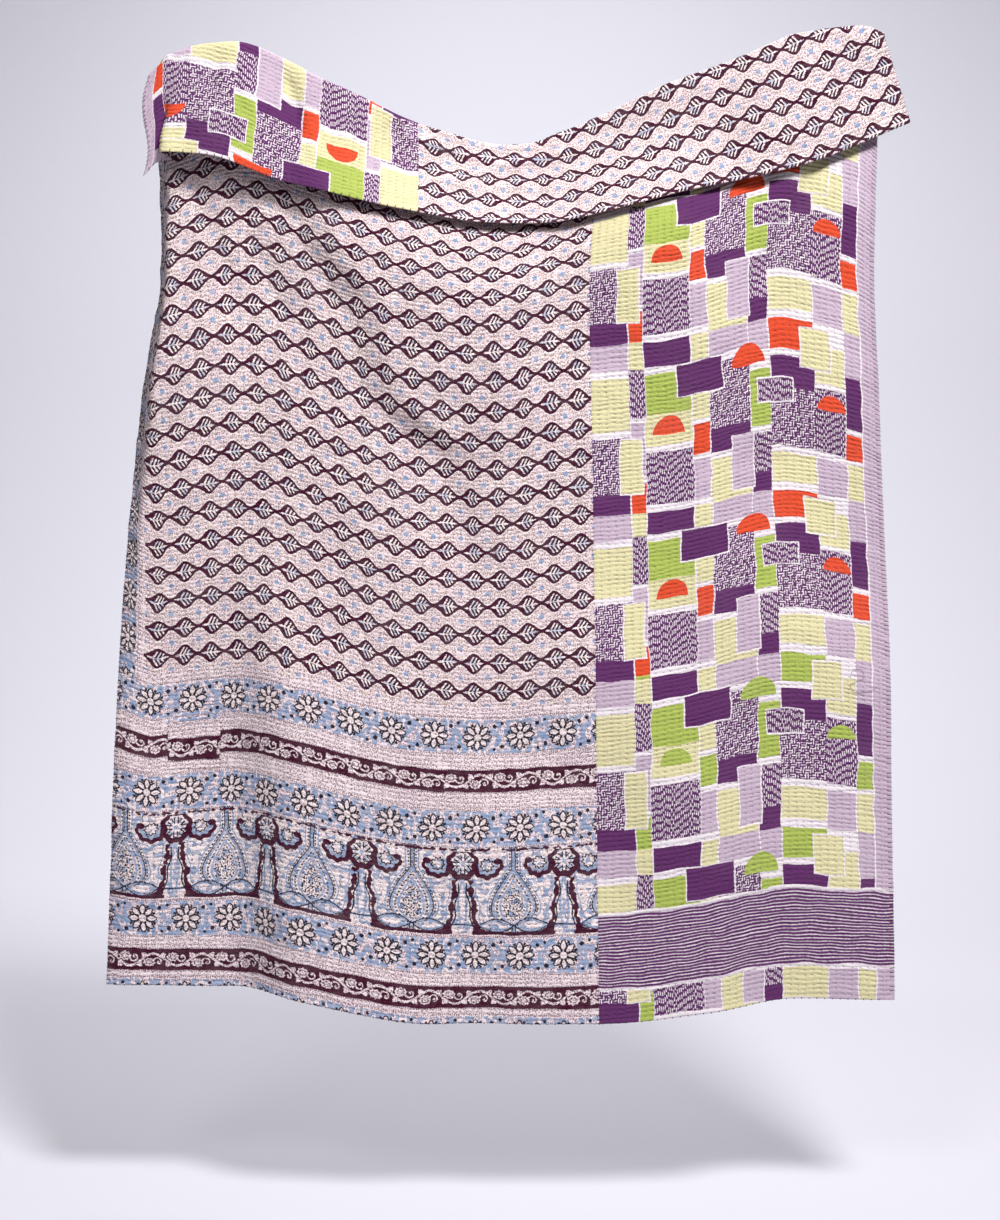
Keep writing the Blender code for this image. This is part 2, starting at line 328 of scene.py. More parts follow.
def body_row(share, cloth_places):
    """Points of the body on one row, where each lies at its own place along the cloth."""
    sections = [dict(zip(SECTION_NAMES, row)) for row in SECTIONS]
    shares = [section["share"] for section in sections]
    edge = {
        name: float(through(shares, [section[name] for section in sections], share))
        for name in ("left", "seam", "right", "curl")
    }
    left_part = np.linspace(edge["left"], edge["seam"], SAMPLES)
    right_part = np.linspace(edge["seam"], edge["right"], SAMPLES)
    x = np.concatenate([left_part, right_part[1:]])
    lines = np.array([section_height(section, x) for section in sections])
    z = through(shares, lines, share)
    y = depth(x, z) + edge["curl"] * (1.0 - smooth(0.0, CURL_WIDTH, x - edge["left"]))
    y = y + creases(CREASES, x, z)
    run = np.sqrt(np.diff(x) ** 2 + np.diff(y) ** 2 + np.diff(z) ** 2)
    length = np.concatenate([[0.0], np.cumsum(run)])
    at_seam = length[SAMPLES - 1]
    left_share = length[:SAMPLES] / at_seam * FRONT_SEAM
    right_share = (length[SAMPLES:] - at_seam) / (length[-1] - at_seam)
    place = np.concatenate([left_share, FRONT_SEAM + right_share * (QUILT_WIDTH - FRONT_SEAM)])
    return np.stack([np.interp(cloth_places, place, axis) for axis in (x, y, z)], axis=1)


def roll_row(angle, top):
    """The body's top row turned forward over the fold by this angle."""
    row = top.copy()
    row[:, 1] += ROLL_RADIUS * (math.cos(angle) - 1.0)
    row[:, 2] += ROLL_RADIUS * math.sin(angle)
    return row


def flap_row(share, top, cloth_places):
    """Points of the flap on one row, this share of the way from the fold to its hem."""
    places, across, height, stand_off = zip(*FLAP_HEM)
    x = top[:, 0] + (through(places, across, cloth_places) - top[:, 0]) * share
    z = top[:, 2] + (through(places, height, cloth_places) - top[:, 2]) * share
    gap = 2.0 * ROLL_RADIUS * (1.0 - share) + through(places, stand_off, cloth_places) * share
    tuck = TUCK_DEPTH * share * (1.0 - smooth(TUCK_START, TUCK_END, cloth_places))
    back_turn = np.exp(-(((cloth_places - LAP_BACK) / LAP_WIDTH) ** 2))
    front_turn = np.exp(-(((cloth_places - LAP_FRONT) / LAP_WIDTH) ** 2))
    lap = LAP_PUSH * smooth(LAP_STARTS, LAP_FULL, share)
    x = x + lap * (back_turn - front_turn)
    at_edge = 1.0 - smooth(0.0, LAP_BACK, cloth_places)
    x = x + EDGE_WAVE * at_edge * math.sin(math.pi * (1.0 + EDGE_HALF_TURNS * share))
    tuck = tuck + lap * LAP_DEEP * (back_turn - front_turn)
    creased = creases(FLAP_CREASES, x, z) * smooth(0.0, FLAP_CREASES_FULL, share)
    y = depth(x, z) - gap + tuck + creased
    return np.stack([x, y, z], axis=1)


def hanging(cloth_places, heights):
    """Points of the cloth's middle: one column a place, one row a height on the flat quilt."""
    rows = [body_row(i / BODY_ROWS, cloth_places) for i in range(BODY_ROWS + 1)]
    top = rows[-1]
    rows += [roll_row(math.pi * i / ROLL_ROWS, top) for i in range(1, ROLL_ROWS + 1)]
    rows += [flap_row(i / FLAP_ROWS, top, cloth_places) for i in range(1, FLAP_ROWS + 1)]
    rows = np.array(rows) - FOLD_MIDDLE
    run = np.linalg.norm(np.diff(rows[BODY_ROWS:], axis=0), axis=2)
    body_length = QUILT_LENGTH - run.sum(axis=0)
    shares = np.linspace(0.0, 1.0, BODY_ROWS + 1)[:, None]
    at = np.vstack([shares * body_length, body_length + np.cumsum(run, axis=0)])
    columns = range(len(cloth_places))
    axes = [
        np.stack([np.interp(heights[:, j], at[:, j], rows[:, j, axis]) for j in columns], axis=1)
        for axis in range(3)
    ]
    return np.stack(axes, axis=2)


def outward(points):
    """Directions out of the cloth's front face."""
    return unit(np.cross(np.gradient(points, axis=1), np.gradient(points, axis=0)))


def rim_drop(distance, reach):
    """1 at an edge and 0 past its reach, in a quarter round."""
    off = np.clip(1.0 - distance / reach, 0.0, 1.0)
    return 1.0 - np.sqrt(1.0 - off**2)


class Cloth:
    """The whole quilt on one fine grid, where every third row is a row of stitches."""

    def __init__(self):
        step = STITCH_PITCH / 2
        seams = (0.0, BACK_SEAM, FRONT_SEAM, QUILT_WIDTH)
        columns = [RIM_STEPS[:-1], QUILT_WIDTH - RIM_STEPS[:-1]]
        for low, high in zip(seams, seams[1:]):
            columns.append(np.linspace(low, high, round((high - low) / step) + 1)[:-1])
        for seam in seams[1:-1]:
            columns.append(seam + SEAM_STEPS)
        places = np.unique(np.round(np.concatenate([*columns, [QUILT_WIDTH]]), 6))
        keep = np.append(np.diff(places) > CLOSEST_COLUMNS, True)
        self.places = places[keep]
        self.places[0], self.places[-1] = 0.0, QUILT_WIDTH
        fine = np.arange(1, int(QUILT_LENGTH / ROW_PITCH) * ROWS_PER_PITCH)
        sewn = fine * ROW_PITCH / ROWS_PER_PITCH
        self.rows = np.concatenate([RIM_STEPS, sewn, QUILT_LENGTH - RIM_STEPS[::-1]])
        plain = np.ones(len(RIM_STEPS), int)
        self.row_kind = np.concatenate([plain, fine % ROWS_PER_PITCH, plain])
        across, up = np.meshgrid(self.places, self.rows)
        inside = smooth(0.0, CALM_EDGE, up) * smooth(0.0, CALM_EDGE, QUILT_LENGTH - up)
        self.level = up
        self.up = up + layered_noise(WANDER, across, up) * inside
        self.across = across
        self.middle = hanging(self.places, self.up)
        self.out = outward(self.middle)
        crumple = layered_noise(CRUMPLE, across, up)
        self.middle = self.middle + self.out * (crumple * inside)[..., None]
        self.out = outward(self.middle)

    def face(self, side, seam):
        """Points of the front (1) or back (-1) face, with the cloth puffed between rows."""
        puff = np.array(PUFF)[self.row_kind][:, None]
        uneven = layered_noise(((*PUFF_UNEVEN, PUFF_SEED + side),), self.across, self.up)
        swell = puff * (PUFF_STRENGTH + uneven)
        column = np.cos(2.0 * math.pi * self.across / STITCH_PITCH)
        in_row = (self.row_kind == 0)[:, None]
        swell = swell - in_row * DIMPLE * (1.0 + side * column)
        thick = BETWEEN_COVERS / 2 + COVER + swell
        thick -= SEAM_DROP * rim_drop(np.abs(self.across - seam), SEAM_REACH)
        edge = edge_distance(self.across, self.up, 0.0, QUILT_WIDTH, 0.0, QUILT_LENGTH)
        thick *= 1.0 - rim_drop(np.maximum(edge, 0.0), RIM)
        return self.middle + side * self.out * thick[..., None]

    def spot(self, face, across, up):
        """Points of a face at any places on the flat cloth."""
        column = np.interp(across, self.places, np.arange(len(self.places)))
        row = np.interp(up, self.rows, np.arange(len(self.rows)))
        i = np.minimum(row.astype(int), len(self.rows) - 2)
        j = np.minimum(column.astype(int), len(self.places) - 2)
        v, u = (row - i)[..., None], (column - j)[..., None]
        low = face[i, j] * (1 - u) + face[i, j + 1] * u
        high = face[i + 1, j] * (1 - u) + face[i + 1, j + 1] * u
        return low * (1 - v) + high * v

    def patched(self, face):
        """The front face, raised where the patch lies on it."""
        left, right, bottom, top = PATCH
        on_patch = (self.across > left) & (self.across < right)
        on_patch &= (self.up > bottom) & (self.up < top)
        return face + self.out * (on_patch * PATCH_LIFT)[..., None]

    def columns_between(self, low, high):
        from_low, to_high = self.places >= low - ROUND_OFF, self.places <= high + ROUND_OFF
        return np.flatnonzero(from_low & to_high)


def quads(rows, columns):
    corner = np.arange(rows - 1)[:, None] * columns + np.arange(columns - 1)
    return np.stack([corner, corner + 1, corner + columns + 1, corner + columns], axis=-1)


def add_object(name, data):
    """A new object in the scene."""
    item = bpy.data.objects.new(name, data)
    bpy.context.scene.collection.objects.link(item)
    return item


def new_material(name):
    """A material, its nodes and its shader."""
    material = bpy.data.materials.new(name)
    material.use_nodes = True
    return material, material.node_tree, material.node_tree.nodes["Principled BSDF"]


def add_mesh(name, points, faces, material, uv_maps=()):
    """A smooth mesh from arrays. uv_maps holds (name, one place a point)."""
    points, faces = points.reshape(-1, 3), faces.reshape(-1, faces.shape[-1])
    mesh = bpy.data.meshes.new(name)
    mesh.from_pydata(points.tolist(), [], faces.tolist())
    for uv_name, places in uv_maps:
        layer = mesh.uv_layers.new(name=uv_name)
        layer.data.foreach_set("uv", places[faces.ravel()].astype(np.float32).ravel())
    mesh.materials.append(material)
    mesh.shade_smooth()
    piece = add_object(name, mesh)
    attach(piece, "root")
    return piece


def cloth_maps(baked, printed, sewn):
    """A cloth's three maps, each from its places across and up: for baking, print and rows."""
    named = (("OFBake", baked), ("cloth", printed), ("rows", sewn))
    return [(name, np.stack(places, axis=-1).reshape(-1, 2)) for name, places in named]


def add_panel(name, node, cloth, face, side, low, high, material, print_place):
    """One printed panel of the quilt, in place of its solid."""
    picked = cloth.columns_between(low, high)
    points = face[:, picked]
    faces = quads(*points.shape[:2])
    if side < 0:
        faces = faces[..., ::-1]
    across, up, level = cloth.across[:, picked], cloth.up[:, picked], cloth.level[:, picked]
    baked = ((across - low) / QUILT_LENGTH, up / QUILT_LENGTH)
    maps = cloth_maps(baked, (print_place(across), up), (across, level))
    panel = add_mesh(name, points, faces, material, maps)
    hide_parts(node)
    high - low


def patch_grid(low, high, first, last, pitch):
    """Places over the patch in one direction, close together at its rounded rim."""
    inner = np.arange(low + first, high - last, pitch)
    return np.concatenate([low + RIM_STEPS, inner, high - RIM_STEPS[::-1]])


def add_patch(cloth, face, material):
    """The small patch of the same print, sewn on the front block-printed panel."""
    left, right, bottom, top = PATCH
    columns = patch_grid(left, right, *PATCH_COLUMNS)
    rows = patch_grid(bottom, top, *PATCH_ROWS)
    across, up = np.meshgrid(columns, rows)
    ragged = layered_noise(PATCH_RAGGED, across, up)
    drop = PATCH_EDGE_DROP * rim_drop(edge_distance(across, up, *PATCH), RIM)
    points = cloth.spot(face, across + ragged, up + ragged)
    points += cloth.spot(cloth.out, across, up) * (PATCH_LIFT * (1.0 - drop))[..., None]
    baked = ((across - left) * PATCH_BAKE_SCALE, (up - bottom) * PATCH_BAKE_SCALE)
    printed = (across + PATCH_PRINT_SHIFT[0], up + PATCH_PRINT_SHIFT[1])
    maps = cloth_maps(baked, printed, (across, up))
    patch = add_mesh("patch_sheet", points, quads(*points.shape[:2]), material, maps)
    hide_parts("front_patch")


def tubes(paths, outs, radius, sides=4):
    """Points and faces of thin tubes along many paths of equal length."""
    count, length = paths.shape[:2]
    along = unit(np.gradient(paths, axis=1))
    aside = unit(np.cross(along, outs))
    rise = np.cross(aside, along)
    turns = 2.0 * math.pi * np.arange(sides) / sides
    ring = np.cos(turns)[:, None] * aside[:, :, None] + np.sin(turns)[:, None] * rise[:, :, None]
    taper = np.ones(length)
    taper[[0, -1]] = TUBE_END
    points = paths[:, :, None] + ring * radius * taper[None, :, None, None]
    i, k = np.meshgrid(np.arange(length - 1), np.arange(sides), indexing="ij")
    a, b = i * sides + k, i * sides + (k + 1) % sides
    one = np.stack([a, b, b + sides, a + sides], axis=-1).reshape(-1, 4)
    faces = one[None] + (np.arange(count) * length * sides)[:, None, None]
    return points.reshape(-1, 3), faces.reshape(-1, 4)


# The cloth's surface: washed cotton with a fine weave, worn a little darker in places. Noise
# scales are patches a metre, and YARNS is the weave's waves a metre times a full turn
CLOTH_SHADER = (
    ("Roughness", 0.92),
    ("Sheen Weight", 0.02),
    ("Sheen Roughness", 0.6),
    ("Specular IOR Level", 0.06),
)
WORN, WEAR = (0.30, 0.26, 0.28), 0.20
FINE_SHAKE, SLOW_SHAKE = 420.0, (26.0, 24.0)
GROOVE_SHARPNESS = 2.2
YARNS = 7800.0
WEAVE_HEIGHT, CRUMPLE_HEIGHT = 0.05, 1.2
BLOCK_GROOVE, GEOMETRIC_GROOVE = 0.60, 0.68


def operation(kind):
    """A method of Number that works out one more number."""
    return lambda number, *others: number.math(kind, *others)


class Number:
    """A number that a material works out. 1 is yes and 0 is no, & is and, | is or."""

    def __init__(self, tree, socket):
        self.tree, self.socket = tree, socket

    def math(self, kind, *others):
        node = self.tree.nodes.new("ShaderNodeMath")
        node.operation = kind
        for slot, value in zip(node.inputs, (self, *others)):
            if isinstance(value, Number):
                self.tree.links.new(value.socket, slot)
            else:
                slot.default_value = value
        return Number(self.tree, node.outputs[0])

    __add__ = __radd__ = operation("ADD")
    __sub__ = operation("SUBTRACT")
    __mul__ = __rmul__ = operation("MULTIPLY")
    __truediv__ = operation("DIVIDE")
    __lt__ = operation("LESS_THAN")
    __gt__ = operation("GREATER_THAN")
    __and__ = operation("MULTIPLY")
    __or__ = operation("MAXIMUM")
    __abs__ = operation("ABSOLUTE")
    angle = operation("ARCTAN2")
    at_least = operation("MAXIMUM")
    at_most = operation("MINIMUM")
    cosine = operation("COSINE")
    floor = operation("FLOOR")
    fraction = operation("FRACT")
    power = operation("POWER")
    root = operation("SQRT")
    rounded = operation("ROUND")
    sign = operation("SIGN")
    sine = operation("SINE")

    def __rsub__(self, other):
        return self.math("MULTIPLY_ADD", -1.0, other)

    def between(self, low, high):
        """1 where the number lies between two limits, and 0 elsewhere."""
        return self.math("COMPARE", (low + high) / 2, (high - low) / 2)

    def near(self, other, reach):
        """1 where the number is within a reach of another, and 0 elsewhere."""
        return self.math("COMPARE", other, reach)

    def cell(self, size):
        """Distance from the middle of the nearest repeat, from -size / 2 to size / 2."""
        return self - (self / size).rounded() * size

    def pick(self, low, high):
        """low where this is 0 and high where it is 1."""
        return self * (high - low) + low

    def stripes(self, pitch, share):
        """1 on the first share of each repeat, and 0 on the rest."""
        return (self / pitch).fraction() < share

    def lines(self, table):
        """1 on any of a table's lines, each a middle and half a width."""
        mask = self.near(*table[0])
        for middle, reach in table[1:]:
            mask = mask | self.near(middle, reach)
        return mask

    def limited(self):
        """The number, kept from 0 to 1."""
        return self.at_least(0.0).at_most(1.0)


def distance(across, up):
    """Distance of a place from a middle, from how far across and up it is."""
    return (across * across + up * up).root()


class Paint:
    """A cloth material whose colour is worked out from places on the flat cloth."""

    def __init__(self, name):
        self.material, self.tree, self.shader = new_material(name)
        self.places = self.places_on("cloth")

    def link(self, source, target):
        self.tree.links.new(source, target)

    def places_on(self, name):
        """Places on one of the cloth's maps."""
        node = self.tree.nodes.new("ShaderNodeUVMap")
        node.uv_map = name
        return node.outputs["UV"]

    def split(self, places):
        """The two numbers of a place."""
        node = self.tree.nodes.new("ShaderNodeSeparateXYZ")
        self.link(places, node.inputs[0])
        return [Number(self.tree, node.outputs[i]) for i in (0, 1)]

    def noise(self, scale, detail=1.0, stretch=(1.0, 1.0, 1.0), shift=0.0):
        """Soft random values round 0.5, this many patches a metre."""
        mapping = self.tree.nodes.new("ShaderNodeMapping")
        mapping.inputs["Scale"].default_value = stretch
        mapping.inputs["Location"].default_value = (shift, shift, 0.0)
        self.link(self.places, mapping.inputs["Vector"])
        node = self.tree.nodes.new("ShaderNodeTexNoise")
        node.noise_dimensions = "2D"
        node.inputs["Scale"].default_value = scale
        node.inputs["Detail"].default_value = detail
        self.link(mapping.outputs["Vector"], node.inputs["Vector"])
        return Number(self.tree, node.outputs["Fac"])

    def specks(self, scale):
        """Distance to the nearest of many scattered points, in units of their spacing."""
        node = self.tree.nodes.new("ShaderNodeTexVoronoi")
        node.voronoi_dimensions = "2D"
        node.inputs["Scale"].default_value = scale
        self.link(self.places, node.inputs["Vector"])
        return Number(self.tree, node.outputs["Distance"])

    def across_and_up(self, wobble=0.0010, waver=0.0022):
        """Places on the flat cloth, shaken a little as a hand-printed edge is."""
        across, up = self.split(self.places)
        across = across + (self.noise(FINE_SHAKE, 0.0) - 0.5) * wobble * 2
        across = across + (self.noise(SLOW_SHAKE[0], 0.0, shift=3.0) - 0.5) * waver * 2
        up = up + (self.noise(FINE_SHAKE, 0.0, shift=7.0) - 0.5) * wobble * 2
        up = up + (self.noise(SLOW_SHAKE[1], 0.0, shift=5.0) - 0.5) * waver * 2
        return across, up

    def mix(self, low, high, share):
        """A colour between two, each a colour or a socket."""
        node = self.tree.nodes.new("ShaderNodeMix")
        node.data_type = "RGBA"
        for slot, value in ((node.inputs[6], low), (node.inputs[7], high)):
            if isinstance(value, tuple):
                slot.default_value = (*value, 1.0)
            else:
                self.link(value, slot)
        if isinstance(share, Number):
            self.link(share.socket, node.inputs[0])
        else:
            node.inputs[0].default_value = share
        return node.outputs[2]

    def inked(self, colour, *layers):
        """A colour with inks laid over it in turn, each with its share of the cover."""
        for ink, share in layers:
            colour = self.mix(colour, ink, share)
        return colour

    def finish(self, colour, groove_depth):
        """Connects the colour, and gives the cloth its sewn rows, crumples and weave."""
        mottle = self.noise(9.0, 2.0, shift=11.0)
        darker = self.mix(colour, WORN, (mottle - 0.5) * WEAR)
        self.link(darker, self.shader.inputs["Base Color"])
        for name, value in CLOTH_SHADER:
            self.shader.inputs[name].default_value = value
        across, up = self.split(self.places_on("rows"))
        valley = abs(up.cell(ROW_PITCH)) / (ROW_PITCH / 2)
        uneven = self.noise(55.0, 0.0, shift=6.0) * 2.4 - 0.2
        groove = (1.0 - valley).power(GROOVE_SHARPNESS) * uneven
        pit = (across * (2.0 * math.pi / STITCH_PITCH)).cosine() * 0.5 + 0.6
        weave = (across * YARNS).sine() * (up * YARNS).sine()
        crumple = self.noise(130.0, 2.0, stretch=(1.0, 1.5, 1.0), shift=2.0)
        height = weave * WEAVE_HEIGHT + crumple * CRUMPLE_HEIGHT - groove * pit * groove_depth
        bump = self.tree.nodes.new("ShaderNodeBump")
        bump.inputs["Strength"].default_value = 0.9
        bump.inputs["Distance"].default_value = 0.0016
        self.link(height.socket, bump.inputs["Height"])
        self.link(bump.outputs["Normal"], self.shader.inputs["Normal"])
        return self.material


# Inks of the block print, as they look in daylight
GROUND = (0.77, 0.63, 0.67)
CREAM = (0.88, 0.78, 0.77)
PLUM = (0.052, 0.005, 0.021)
BLACK = (0.012, 0.006, 0.012)
BLUE = (0.240, 0.325, 0.500)
OCHRE = (0.54, 0.38, 0.26)
SPECK = (0.15, 0.07, 0.09)

# One repeat of each motif, where the chains' field begins, and a motif of it on each cover
MOTIF_PITCH, CHAIN_PITCH = 0.0492, 0.0511
ROSETTE_PITCH, VINE_PITCH, ARCH_PITCH = 0.0761, 0.085, 0.177
FIELD_BOTTOM, FIELD_LEFT = 0.5655, 0.0500
FRONT_MOTIF, BACK_MOTIF = (0.0743, 0.5930), (0.0190, 1.9030 - 26 * CHAIN_PITCH)

# The bands: their middles, where one gives way to the next, and half their width. SIDE_BAND is
# the right edge, middle, bottom and squeeze of the one that turns up the left edge
ROSETTE_BANDS = (-0.0180, 0.1215, 0.3475, 0.5120)
ROSETTE_SPLITS, ROSETTE_HALF = (0.030, 0.240, 0.430), 0.0305
VINE_BANDS, VINE_SPLIT, VINE_HALF = (0.0470, 0.4320), 0.200, 0.0195
ROSETTE_START = 0.012
SIDE_BAND = (0.0345, 0.0165, 0.5430, 1.25)
ARCH_START, ARCH_BOTTOM, ARCH_HEIGHT = 0.030, 0.1580, 0.1575
TICK_PITCH, ROSETTE_TICKS, VINE_TICKS = 0.0036, (0.0335, 0.0013), (0.0205, 0.0010)
SIDE_TICKS, SIDE_TICKS_BOTTOM = (0.0385, 0.0010), 0.5400

# A lozenge: how far its outline swings, and half its height at the mean. Its sprig keeps inside
# it, and has ribs on a slope, a leaf on each side and a thin stem. Pairs are a line's middle and
# half width, here and below
LOZENGE_SWING, LOZENGE_HALF, HALO = 0.0078, 0.0113, 0.0016
SPRIG_INSET, SPRIG_LENGTH, SPRIG_SLOPE, SPRIG_START = 0.0056, 0.0200, 0.60, 0.0098
RIB_PITCH, RIB_SHARE, RIB_CORE = 0.0070, 0.46, (0.62, 0.11)
LEAF_MIDDLE, LEAF_REACH, LEAF_HALF, STEM_HALF = 0.0120, 0.0066, 0.0023, 0.0009
DOT_RADIUS, DOT_RING, DOT_BEADS, CONTOUR = 0.0046, (0.0092, 0.0007), 9.0, (0.0056, 0.0009)


def chain(paint, across, up, first_motif, first_row):
    """Masks of the plum, blue, ochre, cream and black of the chains of lozenges."""
    x = (across - first_motif).cell(MOTIF_PITCH)
    y = abs((up - first_row).cell(CHAIN_PITCH))
    off = abs(x)
    outline = y - (x * (2.0 * math.pi / MOTIF_PITCH)).cosine() * LOZENGE_SWING - LOZENGE_HALF
    lean = x - y * SPRIG_SLOPE + SPRIG_START
    ribs = (lean / RIB_PITCH).fraction()
    inside = (outline < -SPRIG_INSET) & lean.between(0.0, SPRIG_LENGTH)
    leaf = y < (1.0 - abs(off - LEAF_MIDDLE) / LEAF_REACH) * LEAF_HALF
    sprig = ((ribs < RIB_SHARE) & inside) | leaf | ((y < STEM_HALF) & (off < LEAF_MIDDLE))
    core = ribs.near(*RIB_CORE) & inside
    plum = (outline < 0.0) & (1.0 - sprig)
    corner_x = MOTIF_PITCH / 2 - off
    corner_y = CHAIN_PITCH / 2 - y
    away = distance(corner_x, corner_y)
    tinted = sprig & (paint.noise(70.0, 0.0, shift=13.0) > 0.56)
    blue = (away < DOT_RADIUS) | (tinted * 0.6)
    beads = (corner_y.angle(corner_x) * DOT_BEADS).sine() > 0.0
    contour = outline.near(*CONTOUR) | (away.near(*DOT_RING) & beads)
    halo = outline.between(0.0, HALO) | sprig
    return plum, blue, contour, halo, core & plum


# A rosette: its eye, its eight petals with their outline, the ticks between them, and the small
# dots beside it: across, up and radius of each
EYE, HEART, PETAL_LENGTH, PETAL_HALF, PETAL_FULLNESS = 0.0034, 0.0100, 0.0222, 0.0056, 1.25
PETAL_LINE, PETAL_LINE_STARTS, TICK_HALF, TICK_RING = 0.0016, 0.0062, 0.0022, (0.0222, 0.0024)
ROSETTE_DOTS = ((0.0300, 0.0185, 0.0037), (-0.0325, 0.0240, 0.0029))


def rosettes(paint, along, off):
    """Masks of the black, blue and cream of a band of rosettes."""
    x = along.cell(ROSETTE_PITCH)
    r = distance(x, off)
    petal = abs(off.angle(x).cell(math.pi / 4)) * r
    share = ((r - EYE) / PETAL_LENGTH).limited()
    width = (share.power(PETAL_FULLNESS) * math.pi).sine() * PETAL_HALF
    tip = EYE + PETAL_LENGTH
    reach = r.between(EYE, tip)
    line = petal.near(width, PETAL_LINE) & r.between(PETAL_LINE_STARTS, tip)
    tick = abs(petal - r * (math.pi / 8)) < TICK_HALF
    black = line | (tick & r.near(*TICK_RING))
    inside = ((petal < width) & reach) | (r < HEART)
    side = off.sign()
    for dot_x, dot_y, radius in ROSETTE_DOTS:
        far_x, far_y = x * side - dot_x, abs(off) - dot_y
        black = black | ((far_x * far_x + far_y * far_y) < radius**2)
    blotch = paint.noise(100.0, 0.5, stretch=(1.05, 0.80, 1.0)) < 0.525
    return black, blotch & (1.0 - inside), inside


# A bend of the vine: its stem, a ruffled flower with a ring in it, a curl that opens, and a bud
STEM_SWING, VINE_STEM_HALF = 0.0112, 0.0022
FLOWER_RADIUS, FLOWER_RING, FLOWER_RUFFLE = 0.0090, (0.0048, 0.0007), 0.0008
CURL_RADIUS, CURL_OPENS, CURL_HALF, CURL_DOT = 0.0052, 0.0013, 0.0013, 0.0016
BUD_RADIUS = 0.0044


def vine(across, off):
    """Mask of the maroon of a scrolling vine."""
    half = VINE_PITCH / 2
    turn = (across / half).rounded()
    x = across - turn * half
    y = off * (turn * math.pi).cosine()
    stem = y.near((x * (math.pi / half)).cosine() * STEM_SWING, VINE_STEM_HALF)
    flower_x, flower_y = (x + 0.0085) * 0.88, (y + 0.0052) * 1.15
    edge = (flower_y.angle(flower_x) * 9.0).sine() * FLOWER_RUFFLE
    flower = distance(flower_x, flower_y) + edge
    blob = (flower < FLOWER_RADIUS) & (1.0 - flower.near(*FLOWER_RING))
    curl_x, curl_y = x - 0.0080, y + 0.0042
    away = distance(curl_x, curl_y)
    curl = away.near(curl_y.angle(curl_x) * CURL_OPENS + CURL_RADIUS, CURL_HALF)
    blob = blob | curl | (away < CURL_DOT)
    bud_x, bud_y = abs(x) - half * 0.46, y - 0.0085
    bud = (bud_x * bud_x * 0.30 + bud_y * bud_y) < BUD_RADIUS**2
    return (abs(off) < VINE_HALF) & (1.0 - (stem | blob | bud))


# The parts of the arches. Each line of a part is its distance from the outline, half its width
# and, where it has one, the height up to which it shows
FLAME_BOTTOM, FLAME_HEIGHT, FLAME_HALF = 0.020, 0.098, 0.0350
FLAME_BLUE = ((0.0000, 0.0025), (0.0125, 0.0020), (-0.0115, 0.0013))
FLAME_DOTS, FLAME_LINE = ((0.0064, 0.0016), (-0.0066, 0.0014)), (-0.0034, 0.0010)
FOOT, FOOT_WAVE, PILLAR_HALF, PILLAR_WAVE = 0.0275, 0.0018, 0.0040, 0.0012
PILLAR_BOTTOM, PILLAR_TOP = 0.008, 0.098
CAP_HEIGHT, CAP_SCALLOP, CAP_RADIUS, CUP_RADIUS, CUP_TOP = 0.1260, 0.0014, 0.0285, 0.0195, 0.1490
SWAG_PLACE, SWAG_RUFFLE, SWAG_INNER = (0.0430, 0.1260), 0.0014, 0.0215
SWAG_PLUM, SWAG_TOP = 0.0258, 0.1320
SWAG_BLUE = ((0.0150, 0.0030, 0.1300), (0.0325, 0.0012, 0.1180))
SWAG_DOTS = (0.0100, 0.0014, 0.1400)
HOOK_PLACE, HOOK_RADIUS = (0.0265, 0.1310), 0.0052


def flames(paint, x, height):
    """Masks of the blue and the dots of the flames, and how far inside its outline a place is."""
    share = ((height - FLAME_BOTTOM) / FLAME_HEIGHT).limited()
    flame = (share.power(0.56) * math.pi).sine() * FLAME_HALF - x
    beads = (height * 1100.0).sine() > 0.0
    grains = paint.noise(330.0, 0.0, shift=15.0) > 0.57
    dots = (beads & flame.lines(FLAME_DOTS)) | (grains & (flame > 0.0155))
    return flame.lines(FLAME_BLUE), dots | flame.near(*FLAME_LINE), flame


def pillars(post, height, ragged):
    """Masks of the plum, blue and dots of the pillars between the arches."""
    foot = FOOT - height * 0.170 + (height * 150.0).sine() * FOOT_WAVE
    half = PILLAR_HALF - (height * 230.0).sine() * PILLAR_WAVE + ragged
    plum = post.near(foot, half) & height.between(PILLAR_BOTTOM, PILLAR_TOP)
    blue = post.near(foot + 0.0085, 0.0011) & height.between(0.016, PILLAR_TOP)
    stalk = post.near((height * 31.0).sine() * 0.0072, 0.0020)
    blue = blue | (stalk & height.between(0.010, PILLAR_TOP))
    return plum, blue, post.near(foot - 0.0068, 0.0013) & height.between(0.010, 0.092)


def caps(post, height):
    """Masks of the plum, blue and dots of the rosettes on the pillars, and the distance to one."""
    rise = height - CAP_HEIGHT
    cap = distance(post, rise)
    scallop = (rise.angle(post) * 8.0).cosine() * CAP_SCALLOP
    cup = (distance(post, rise - 0.0020) + scallop) > CUP_RADIUS
    plum = cup & ((cap + scallop) < CAP_RADIUS) & (height < CUP_TOP)
    blue = (cap + scallop * 2.0).near(0.0135, 0.0014) | (cap < 0.0040)
    petals = abs(rise.angle(post).cell(math.pi / 4)) * cap
    return plum, blue, petals.near(0.0034, 0.0012) & (cap < 0.0185), cap


